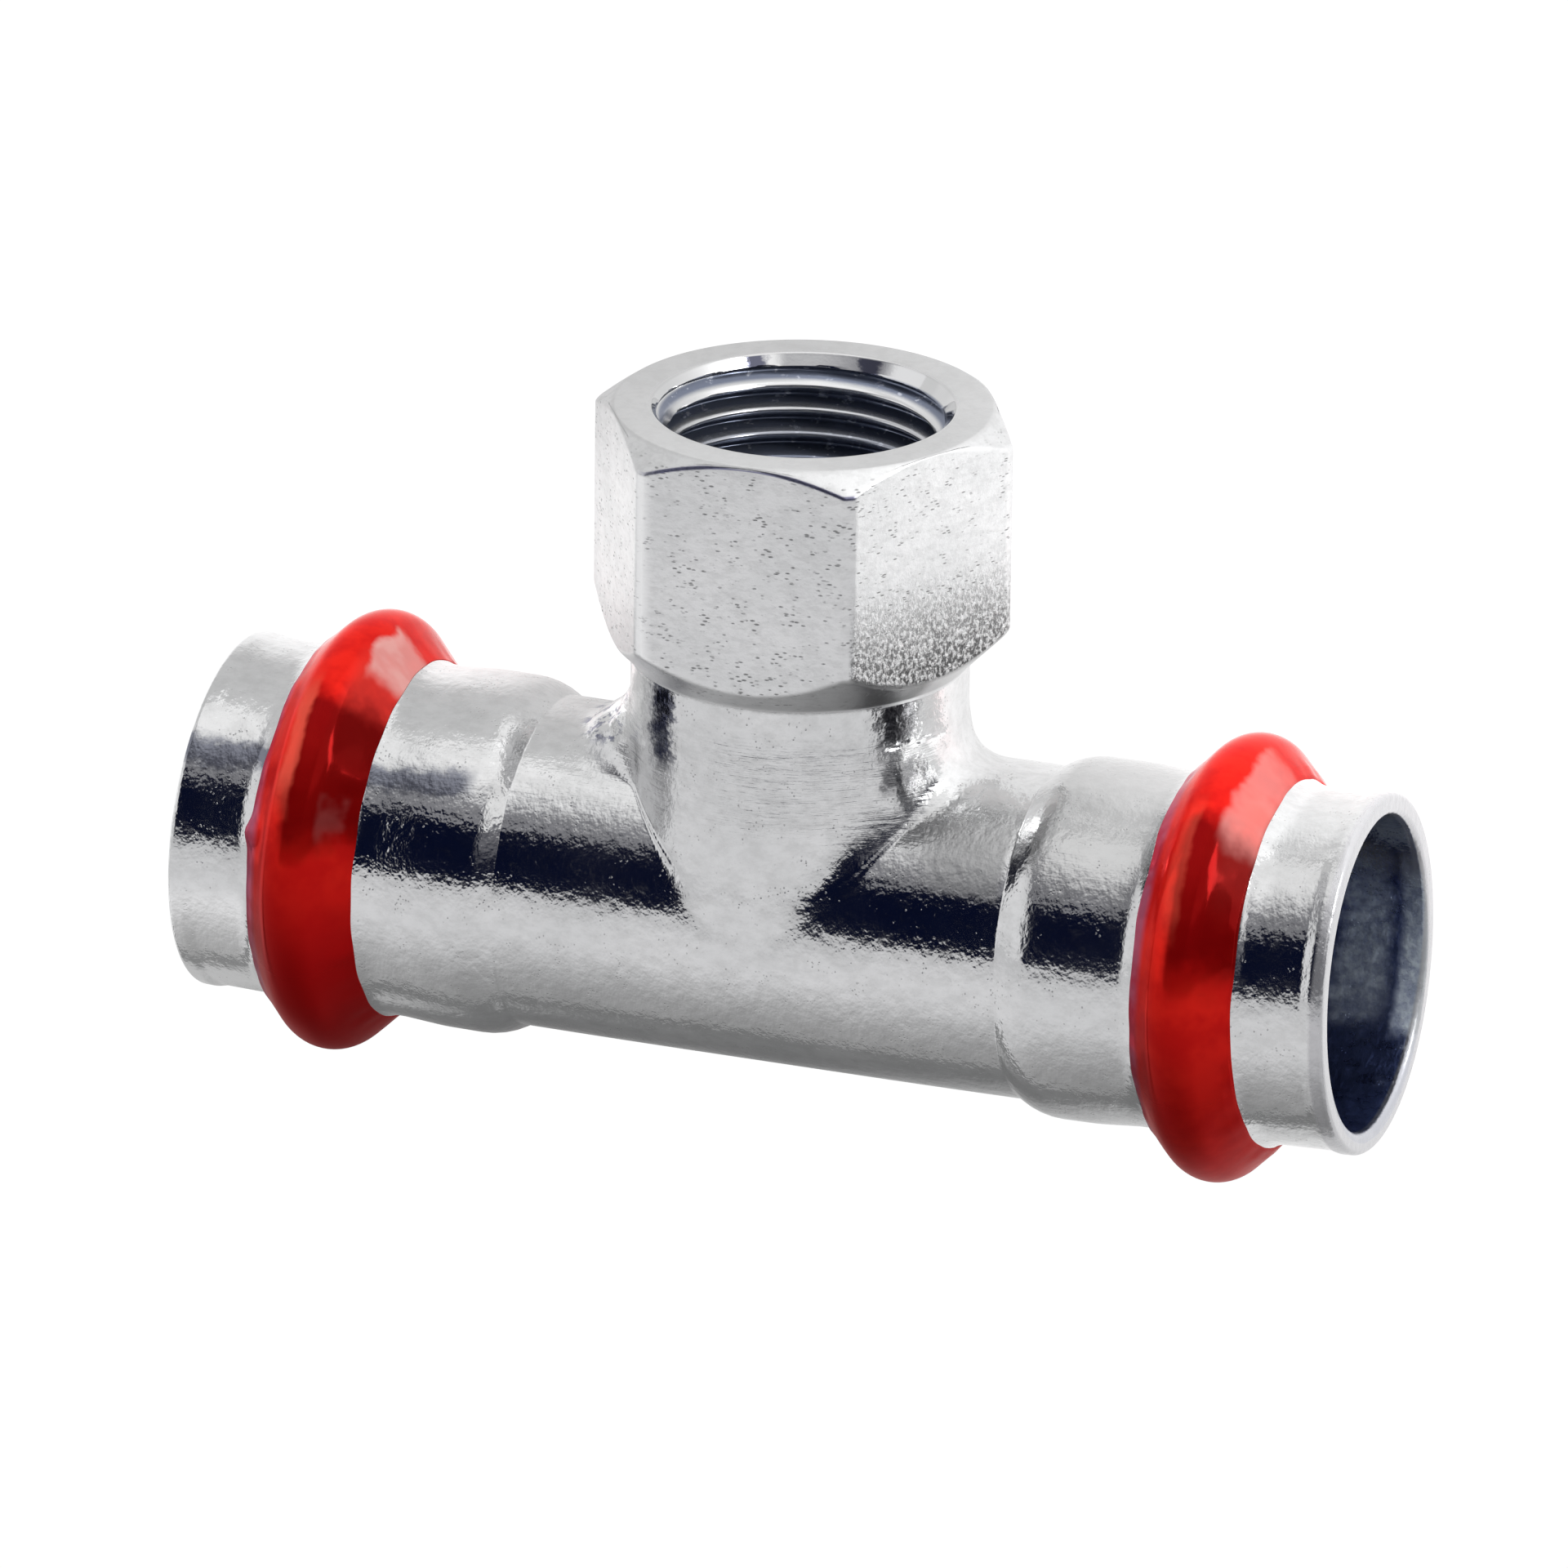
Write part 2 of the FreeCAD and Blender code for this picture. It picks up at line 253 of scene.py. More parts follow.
# The rings of points: how many run from the saddle, gathered towards it, and line the waterways.
ring_angle = 2.0 * math.pi * np.arange(columns) / columns
saddle_rows = {"run": 30, "branch": 34}
saddle_gather = 1.8
waterway_rows = {"run": 9, "branch": 12}
waterway_gather = 0.7


def saddle_edge(side):
    """The line where the run's wall meets the branch's, for every column round the run: x is the
    root of the branch's radius squared less z squared, taken again as the flare moves with it."""
    edge = round_run(0.0, tube_radius, ring_angle)
    upper = np.cos(ring_angle) > 1e-9
    x, y, z = side * edge[upper, 1], edge[upper, 1], edge[upper, 2]
    rounds = 12
    for _ in range(rounds):
        x = side * np.sqrt(np.maximum(branch_wall(x, y, z) ** 2 - z * z, 1e-6))
    edge[upper, 0] = x
    out = np.stack([x, 0.0 * x, z], axis=-1) / np.hypot(x, z)[:, None]
    way = round_run(0.0, 1.0, ring_angle[upper]) + out
    edge[upper] = settled(edge[upper], way / np.linalg.norm(way, axis=-1, keepdims=True))
    return edge


def run_half(side):
    """Rings from the saddle out along the skin, over the step, the socket, the bead and the collar
    to the mouth, and back inside over the seal's groove and the stop to the branch's opening.
    Corners are (x, radius, round)."""
    edge = saddle_edge(side)
    share = np.linspace(0.0, 1.0, saddle_rows["run"])[:, None] ** saddle_gather
    around = turned(np.arctan2(edge[:, 2], edge[:, 1]), ring_angle, share)
    along = edge[:, 0] + (side * saddle_reach - edge[:, 0]) * share
    radius = np.hypot(edge[:, 1], edge[:, 2])
    radius = radius + (tube_radius - radius) * share
    saddle = settled(round_run(along, radius, around), round_run(0.0, 1.0, around))
    step = step_places[side]
    mouth = mouth_places[side]
    line = rounded_line([
        (saddle_reach, tube_radius, 0.0),
        (step + 0.31, tube_radius, 0.35),
        (step + 1.96, socket_radius, 4.9),
        (bead_place - 8.6, socket_radius, 14.0),
        (bead_place - 5.6, collar_radius, 6.0),
        (bead_place - bead_apex + collar_radius, collar_radius, bead_foot),
        (bead_place, bead_apex, bead_crown),
        (bead_place + bead_apex - collar_radius, collar_radius, bead_foot),
        (mouth - 1.75, collar_radius - 0.03, 1.2),
        (mouth - 1.05, rim_radius + 0.02, 0.9),
        (mouth, rim_radius, 0.4),
        (mouth, socket_bore, 0.45),
        (bead_place + groove_half, socket_bore, 0.45),
        (bead_place + groove_half, groove_radius, 0.9),
        (bead_place - groove_half, groove_radius, 0.9),
        (bead_place - groove_half, socket_bore, 0.45),
        (half_length - 21.9, socket_bore, 3.6),
        (half_length - 23.6, tube_bore, 3.6),
        (inner_reach, tube_bore, 0.0),
    ])
    middle = round_run(side * line[1:, :1], line[1:, 1:], ring_angle)
    opening = side * tube_bore * np.maximum(np.cos(ring_angle), 0.0)
    share = np.linspace(0.0, 1.0, waterway_rows["run"])[1:, None] ** waterway_gather
    along = side * inner_reach + (opening - side * inner_reach) * share
    inner = round_run(along, tube_bore, ring_angle)
    return np.concatenate([saddle, middle, inner])


def seam_foot(angle):
    """Height of the weld's lower edge round the branch: it rises at the sides with the cube of the
    sine, to keep above the saddle."""
    front_height, side_rise = 12.3, 1.35
    return front_height + side_rise * np.abs(np.sin(angle)) ** 3


def collar():
    """Rings from the saddle up the skin to the weld, in along its bevel, and down the inside."""
    column = np.arange(columns)
    right = saddle_edge(1)[(columns // 4 - column) % columns]
    left = saddle_edge(-1)[(columns // 4 + column - columns) % columns]
    edge = np.where((column <= columns // 2)[:, None], right, left)
    share = np.linspace(0.0, 1.0, saddle_rows["branch"])[:, None] ** saddle_gather
    around = turned(np.arctan2(edge[:, 0], edge[:, 2]), ring_angle, share)
    up = edge[:, 1] + (seam_foot(ring_angle) - edge[:, 1]) * share
    radius = np.hypot(edge[:, 0], edge[:, 2])
    radius = radius + (tube_radius - radius) * share
    wall = settled(round_branch(up, radius, around), round_branch(0.0, 1.0, around))
    lip = round_branch(joint_height, np.array([[joint_root], [tube_bore]]), ring_angle)
    opening = tube_bore * np.abs(np.sin(ring_angle))
    share = np.linspace(0.0, 1.0, waterway_rows["branch"])[1:, None]
    inner = round_branch(joint_height + (opening - joint_height) * share, tube_bore, ring_angle)
    return np.concatenate([wall, lip, inner])


def quads(rows, wide, first, closing):
    """Corner numbers of the faces of a grid of points, which closes round its columns, and over
    its rows too where closing is "ring"."""
    number = first + np.arange(rows * wide).reshape(rows, wide)
    number = np.hstack([number, number[:, :1]])
    if closing == "ring":
        number = np.vstack([number, number[:1]])
    corners = [number[:-1, :-1], number[1:, :-1], number[1:, 1:], number[:-1, 1:]]
    return np.stack(corners, axis=-1).reshape(-1, 4)


def new_object(name, data):
    """An object with that data, in the scene."""
    made = bpy.data.objects.new(name, data)
    bpy.context.scene.collection.objects.link(made)
    return made


def made_piece(name, grids, material, node, crease=math.radians(42.0)):
    """One welded piece from (points, closing) grids: doubles merged, faces turned outwards, smooth
    except over edges sharper than the crease, riding on the fitting in place of its solid."""
    points = placed(np.vstack([grid.reshape(-1, 3) for grid, closing in grids]))
    faces = []
    first = 0
    for grid, closing in grids:
        faces.append(quads(grid.shape[0], grid.shape[1], first, closing))
        first += grid.shape[0] * grid.shape[1]
    faces = np.vstack(faces)
    mesh = bpy.data.meshes.new(name)
    mesh.vertices.add(len(points))
    mesh.vertices.foreach_set("co", points.astype(np.float32).ravel())
    mesh.loops.add(faces.size)
    mesh.loops.foreach_set("vertex_index", faces.astype(np.int32).ravel())
    mesh.polygons.add(len(faces))
    mesh.polygons.foreach_set("loop_start", np.arange(0, faces.size, 4, dtype=np.int32))
    mesh.update(calc_edges=True)
    shell = bmesh.new()
    shell.from_mesh(mesh)
    same_place = 0.0015 * MILLIMETRE
    bmesh.ops.remove_doubles(shell, verts=shell.verts, dist=same_place)
    bmesh.ops.recalc_face_normals(shell, faces=shell.faces)
    shell.to_mesh(mesh)
    shell.free()
    mesh.shade_smooth()
    mesh.set_sharp_from_angle(angle=crease)
    mesh.materials.append(material)
    piece = new_object(name, mesh)
    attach(piece, "root")
    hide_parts(node)
    return piece


def feed(tree, made, sockets):
    """Puts a value or a wire on each named socket of a node."""
    for name, value in sockets.items():
        if isinstance(value, Wire):
            tree.links.new(value.socket, made.inputs[name])
        else:
            made.inputs[name].default_value = value


class Wire:
    """An output of a node. Arithmetic on it adds Math nodes, also where a number comes first."""

    def __init__(self, tree, socket=None):
        self.tree = tree
        self.socket = socket

    def node(self, kind, settings=None, sockets=None, output=0):
        """A node of that type: its settings first, then a value or a wire for each named socket."""
        made = self.tree.nodes.new(kind)
        for name, value in (settings or {}).items():
            setattr(made, name, value)
        feed(self.tree, made, sockets or {})
        return Wire(self.tree, made.outputs[output])

    def maths(self, operation, first, second=0.0):
        return self.node("ShaderNodeMath", {"operation": operation}, {0: first, 1: second})

    def __add__(self, other):
        return self.maths("ADD", self, other)

    def __sub__(self, other):
        return self.maths("SUBTRACT", self, other)

    def __mul__(self, other):
        return self.maths("MULTIPLY", self, other)

    def __truediv__(self, other):
        return self.maths("DIVIDE", self, other)

    def __pow__(self, other):
        return self.maths("POWER", self, other)

    def __rsub__(self, other):
        return self.maths("SUBTRACT", other, self)

    __radd__ = __add__
    __rmul__ = __mul__

    def size(self):
        return self.maths("ABSOLUTE", self)

    def larger(self, other):
        return self.maths("MAXIMUM", self, other)

    def between(self, low, high):
        """0 at low, 1 at high and a smooth step between; low may be the larger."""
        settings = {"interpolation_type": "SMOOTHSTEP"}
        ends = {0: self, 1: min(low, high), 2: max(low, high)}
        made = self.node("ShaderNodeMapRange", settings, ends)
        return 1.0 - made if low > high else made

    def band(self, low, full, until, high):
        """1 from full to until, and a smooth step down to 0 at low and at high."""
        return self.between(low, full) * self.between(high, until)

    def noise(self, scale, detail=2.0, stretch=(1.0, 1.0, 1.0), roughness=0.5):
        """Fractal noise at this place, scale waves to the metre."""
        mapped = self.node("ShaderNodeMapping", None, {"Vector": self, "Scale": stretch})
        return self.node("ShaderNodeTexNoise", {"normalize": True}, {
            "Vector": mapped, "Scale": scale, "Detail": detail, "Roughness": roughness})

    def specks(self, scale):
        """The distance to the nearest of many scattered points, scale of them to the metre."""
        sockets = {"Vector": self, "Scale": scale}
        return self.node("ShaderNodeTexVoronoi", {"feature": "F1"}, sockets)

    def rays(self, *kinds):
        """Wires that are 1 for rays of each of the kinds."""
        return [self.node("ShaderNodeLightPath", output=f"Is {kind} Ray") for kind in kinds]

    def parts(self):
        """This vector's x, y and z."""
        kind, sockets = "ShaderNodeSeparateXYZ", {"Vector": self}
        return [self.node(kind, None, sockets, output=axis) for axis in "XYZ"]

    def degrees_from(self, ahead):
        """The direction of (this, ahead) in degrees: 0 ahead and 90 this way."""
        return self.maths("ARCTAN2", self, ahead) * math.degrees(1.0)

    def mixed(self, first, second):
        """The first colour where this is 0, the second where it is 1."""
        sockets = {0: self, 6: first, 7: second}
        return self.node("ShaderNodeMix", {"data_type": "RGBA"}, sockets, output=2)


def grey(level, tint=(1.0, 1.0, 1.0)):
    """A colour of that level with a tint."""
    return (level * tint[0], level * tint[1], level * tint[2], 1.0)


def zinc(cloud, clean, clouded):
    """Zinc of two grey levels, faintly blue, in clouds."""
    return cloud.between(0.3, 0.7).mixed(
        grey(clean, (0.995, 0.995, 1.0)), grey(clouded, (0.99, 0.995, 1.0)))


def new_material(name):
    """A material's tree with its Principled shader, and wires for the object's own coordinates."""
    material = bpy.data.materials.new(name)
    material.use_nodes = True
    tree = material.node_tree
    start = Wire(tree)
    place = start.node("ShaderNodeTexCoord", output="Object")
    return material, tree.nodes["Principled BSDF"], start, place


def bumps(start, layers):
    """Bump nodes one after the other, from heights and their rises in millimetres."""
    sockets = {"Strength": 1.0}
    for height, rise in layers:
        sockets.update({"Height": height, "Distance": rise * MILLIMETRE})
        sockets["Normal"] = start.node("ShaderNodeBump", None, sockets)
    return sockets["Normal"]


def from_crossing(place):
    """Wires for x, y and z in millimetres from where the fitting's axes cross."""
    x, y, z = place.parts()
    return x / MILLIMETRE, y / MILLIMETRE - axis_place, z / MILLIMETRE - axis_height


def shaded_run_patch(x, y, z, cloud):
    """1 on the top of the run between the right-hand foot of the branch and the step, where the zinc
    is painted darker as shade, with an edge that wanders with the cloud noise."""
    level = y + 1.2 * (cloud - 0.5)
    along = x.band(8.5, 15.0, 18.0, 18.6)
    return along * level.band(5.6, 6.6, 8.8, 11.4) * z.between(1.0, 4.0)


def bore_painted_reflection_masks(place, x, y, z):
    """Masks for the sockets' insides, which are painted a dark bluish reflection, and for a pale
    painted sheen on it deep in the right-hand one and a pale painted band just within its mouth, both
    with edges that drift with a slow noise."""
    bore = ((y * y + z * z) ** 0.5).between(11.5, 11.3) * x.size().between(20.0, 22.0)
    slow = place.noise(170.0, 5.0, (0.6, 1.0, 1.0), 0.62)
    drift = 12.0 * (slow - 0.5)
    along = x + 0.5 * drift
    high = y + drift
    deep = along.band(35.6, 37.6, 39.6, 41.6) * high.band(-8.5, -4.0, 3.5, 8.0)
    mouth_painted_sheen = (x + 0.1 * drift).between(40.9, 41.9) * high.band(-9.0, -6.0, 8.0, 9.5)
    return bore, deep, mouth_painted_sheen


def painted_reflections_round_neck(turn, x, y, level, mottle):
    """Masks for painted reflections: the dark streak left of the front of the neck, the hooked one
    right of it, the pale left side as a painted highlight, and dark specks in the left crotch. Turn
    is the angle round the branch, from the front towards the right, and level the height; both wander
    with noise."""
    dark_painted_streak = turn.band(-42.0, -35.0, -30.0, -26.0) * level.between(11.8, 14.0)
    dark_painted_streak = 0.94 * dark_painted_streak * (0.55 + 0.9 * mottle)
    upper = level.between(15.3, 16.0) * 0.84
    lower = level.band(11.6, 12.8, 13.6, 14.4) * 0.75
    hooked_painted_streak = turn.band(47.0, 52.0, 58.0, 64.0) * (0.45 + 0.9 * mottle) * upper.larger(lower)
    pale = 0.9 * turn.between(-44.0, -49.0) * level.between(12.2, 13.6) * x.size().between(14.5, 13.5)
    crotch = x.band(-15.8, -15.0, -12.2, -11.0) * y.between(11.2, 12.0)
    return dark_painted_streak, hooked_painted_streak, pale, 0.7 * crotch * mottle.between(0.50, 0.60)


def plated_steel(name, shine):
    """Bright zinc plating: a mirror with a fine orange peel, a grain that frays every reflection,
    small bright and dark specks, and grinding marks round the foot of the branch, where the weld was
    ground. Over it, light and shade are painted into the colour: dark and pale reflections round the
    neck, dark specks in the left crotch, a darker patch on the run right of the branch, a dark band
    along the upper front of the left-hand end, darker tops to the right-hand socket and collar, a
    lighter lower half to the left-hand collar, near-black steel under the films, and in the sockets
    a dark bluish reflection with pale sheen."""
    material, shader, start, place = new_material(name)
    x, y, z = from_crossing(place)
    peel = place.noise(420.0, 2.0, (0.6, 1.0, 1.0))
    grain = place.noise(1400.0, 2.0, (1.2, 0.9, 0.9), 0.55)
    fine = place.noise(4200.0, 2.0)
    cloud = place.noise(130.0, 3.0)
    mottle = place.noise(900.0, 4.0, (0.7, 1.0, 1.0), 0.7)
    speck = place.specks(3300.0)
    pit = speck.between(0.30, 0.12) * place.noise(620.0, 2.0).between(0.55, 0.64)
    level = y + 2.4 * (cloud - 0.5) + 1.6 * (mottle - 0.5)

    base = zinc(cloud, 0.75, 0.70)
    base = (mottle.between(0.35, 0.70) * 0.5).mixed(base, grey(0.54))
    base = (pit * 0.45).mixed(base, grey(0.25))
    rough = shine + 0.06 * cloud.between(0.35, 0.75) + 0.08 * pit + 0.05 * mottle.between(0.52, 0.70)

    # The sockets' insides are painted a dark bluish reflection, with a pale painted sheen deep in the
    # right-hand one and just within its mouth.
    bore, deep, mouth_painted_sheen = bore_painted_reflection_masks(place, x, y, z)
    frayed = 0.45 + 0.35 * grain.between(0.40, 0.68) + 0.30 * mottle.between(0.42, 0.62)
    inside = (deep.larger(mouth_painted_sheen) * frayed).mixed((0.12, 0.16, 0.36, 1.0), (0.84, 0.93, 1.0, 1.0))
    base = bore.mixed(base, inside)
    rough = rough + bore * (0.05 + 0.30 * mottle)

    # A dark band painted along the upper front of the left-hand end: a painted reflection.
    left_end_painted_dark_band = x.between(-20.5, -22.0) * level.band(7.6, 8.3, 9.0, 9.7) * z.between(0.0, 1.0)
    base = (left_end_painted_dark_band * 0.8).mixed(base, (0.09, 0.10, 0.15, 1.0))
    # The steel under the films is painted near black: with the films hidden from glossy rays, the
    # zinc beside them shows it as a painted dark reflection.
    under_film_painted_dark = (x.size() - bead_place).size().between(3.7, 3.5) * y.between(9.0, 7.0)
    base = (under_film_painted_dark * (1.0 - bore)).mixed(base, (0.02, 0.02, 0.03, 1.0))
    # The tops of the right-hand socket and of the collar right of its film are painted darker: a
    # painted dim reflection.
    right_tops_painted_shade = x.band(19.6, 21.0, 28.0, 29.2) + 0.55 * x.between(37.4, 38.3)
    right_tops_painted_shade = right_tops_painted_shade * (y + 3.0 * (cloud - 0.5)).between(6.0, 8.6)
    base = (right_tops_painted_shade * 0.62).mixed(base, grey(0.46))
    cut_end = x.between(42.75, 43.0)
    base = (cut_end * 0.8).mixed(base, grey(0.60))
    lip = x.between(42.05, 42.40) * (1.0 - bore)
    base = (lip * 0.5).mixed(base, grey(0.62, (1.0, 0.99, 1.04)))
    rough = rough + 0.10 * lip
    # The lower half of the left-hand collar is painted lighter: a painted bright reflection.
    left_collar_painted_highlight = x.between(-36.8, -37.6) * y.between(0.5, -2.5)
    base = (left_collar_painted_highlight * 0.8).mixed(base, grey(0.95))

    turn = x.degrees_from(z)
    ground = y.band(7.0, 10.5, 14.8, 17.0) * turn.size().between(82.0, 58.0)
    scratches = place.noise(700.0, 4.0, (0.12, 3.2, 0.12), 0.7)
    normal = bumps(start, [
        (peel, 0.014), (grain, 0.052), (fine, 0.012), (1.0 - pit, 0.012),
        (scratches * ground, 0.072)])
    # A patch on the run's top right of the branch is painted darker as shade, and made rougher.
    run_top_painted_shade = shaded_run_patch(x, y, z, cloud)
    base = (run_top_painted_shade * 0.55).mixed(base, grey(0.36))
    rough = rough + 0.06 * ground + 0.24 * run_top_painted_shade
    turn = turn + 20.0 * (mottle - 0.5) + 16.0 * (cloud - 0.5)
    # Reflections painted round the neck: dark streaks left and right of its front, a painted
    # highlight on its left side, and dark specks in the left crotch.
    dark_painted_streak, hooked_painted_streak, pale, specks = painted_reflections_round_neck(turn, x, y, level, mottle)
    base = dark_painted_streak.mixed(base, (0.03, 0.035, 0.07, 1.0))
    base = hooked_painted_streak.mixed(base, (0.05, 0.05, 0.06, 1.0))
    base = pale.mixed(base, grey(0.97))
    base = specks.mixed(base, (0.06, 0.07, 0.16, 1.0))

    metal = 1.0 - 0.30 * lip - bore * (0.35 * deep).larger(0.75 * mouth_painted_sheen)
    sockets = {"Base Color": base, "Metallic": metal, "Roughness": rough, "Normal": normal}
    feed(start.tree, shader, sockets)
    return material


bright_zinc = plated_steel("bright_zinc_on_tube", 0.09)
tube_grids = [(run_half(1), "round"), (run_half(-1), "round"), (collar(), "round")]
made_piece("run_tube", tube_grids, bright_zinc, "tee_body")


# Seal rings
# A round ring of black rubber in each bead, pressed a little flat against the top of the groove.
# It is moulded in one piece and pushed in by hand before the film goes on.
seal_section = 1.58
seal_centre = 12.58
seal_facets = 28


def seal_ring(side):
    """A round section carried round the run, cut flat where it lies against the groove's top."""
    around = 2.0 * math.pi * np.arange(seal_facets)[:, None] / seal_facets
    out = np.minimum(seal_centre + seal_section * np.cos(around), groove_radius - 0.004)
    return round_run(side * bead_place + seal_section * np.sin(around), out, ring_angle[::2])


def black_rubber():
    """Moulded rubber: near black, with a faint bloom that dulls it in patches and a fine grain."""
    material, shader, start, place = new_material("black_seal_rubber")
    bloom = place.noise(250.0, 3.0)
    grain = place.noise(3000.0, 2.0)
    base = bloom.between(0.4, 0.7).mixed(grey(0.012), grey(0.035))
    rough = 0.42 + 0.2 * bloom
    normal = bumps(start, [(grain, 0.004)])
    feed(start.tree, shader, {"Base Color": base, "Roughness": rough, "Normal": normal})
    return material


rubber = black_rubber()
for side, label in ((1, "right"), (-1, "left")):
    made_piece("seal_ring_" + label, [(seal_ring(side), "ring")], rubber, "seal_" + label)


# Indicator films
# Thin red plastic film shrunk over each bead, which tears off once the joint is pressed. It
# follows the bead, stands off the steel along one edge, and is creased where it was drawn tight.
film_thick = 0.26
root_of_two = 1.4142
film_crest = bead_apex + root_of_two * film_thick
film_left = 13.27
film_reach = {1: 3.72, -1: 4.08}
film_stand = 0.03

# The bead's foot under the film's right-hand edge: a parabola that starts down at 45 degrees.
foot_start = 3.18
foot_long = 1.84
foot_top = 13.42
foot_curl = 1.07

# How the film wanders and puckers towards its edges, and the tear in the left-hand one.
skirt_start = 2.2
skirt_long = 1.2
wave_left = 0.10
wave_right = 0.07
pucker_high = 0.045
tear_deep = {1: 0.0, -1: 0.38}
tear_angle = math.radians(73.0)
tear_half = math.radians(3.5)


def wander(angle, seed, waves):
    """A smooth random curve round the ring, about -1 to 1: a sum of sines with random phases."""
    dice = np.random.default_rng(seed)
    total = np.zeros_like(angle)
    for wave in waves:
        high = dice.uniform(0.4, 1.0)
        total = total + high * np.sin(wave * angle + dice.uniform(0.0, 2.0 * math.pi))
    return total / math.sqrt(len(waves))


def film_ring(side):
    """The bead's outline set out by the film's thickness, carried round the run. Towards its edges
    the film wanders along the tube and puckers. Its right-hand edge ends on the bead's foot. Corners
    are (distance from the bead's middle, radius, round)."""
    reach = film_reach[side]
    covered = np.clip((reach - foot_start) / foot_long, 0.0, 1.0)
    film_right = foot_top - foot_long * covered + foot_curl * covered ** 2 + film_stand
    top = rounded_line([
        (-3.42, film_left, 0.0),
        (-3.56, film_left + 0.26, 0.06),
        (-3.00, film_crest - 2.95, 2.0),
        (0.0, film_crest, bead_crown + film_thick),
        (reach - 0.62, film_crest - reach + 0.62, 2.0),
        (reach, film_right + 0.10, 0.0),
        (reach, film_right, 0.0),
    ], gap=0.3, facet=math.radians(6.0))
    inner = rounded_line([
        (reach - 0.06, film_right, 0.0),
        (reach - 0.45, film_right + 0.32, 0.0),
        (0.0, bead_apex + 0.02, bead_crown),
        (-3.38, film_left + 0.02, 0.0),
    ], gap=0.5, facet=math.radians(9.0))
    line = np.vstack([top, inner])
    along = line[:, :1] * np.ones_like(ring_angle)
    out = line[:, 1:] * np.ones_like(ring_angle)
    skirt = smooth_step((np.abs(along) - skirt_start) / skirt_long)
    left = wander(ring_angle, 3 + side, (2, 3, 5, 9, 14)) * wave_left
    right = wander(ring_angle, 8 + side, (2, 3, 7, 12, 19)) * wave_right
    tear = tear_deep[side] * np.exp(-((ring_angle - tear_angle) / tear_half) ** 2)
    along = along + skirt * np.where(along < 0.0, left - tear, right)
    outer_rows = np.arange(len(line))[:, None] < len(top)
    pucker = wander(ring_angle, 15 + side, (11, 17, 26, 38)) * pucker_high
    above_steel = smooth_step((out - collar_radius - 0.13) / 0.4)
    out = out + outer_rows * skirt * pucker * above_steel
    return round_run(side * bead_place + along, out, ring_angle)


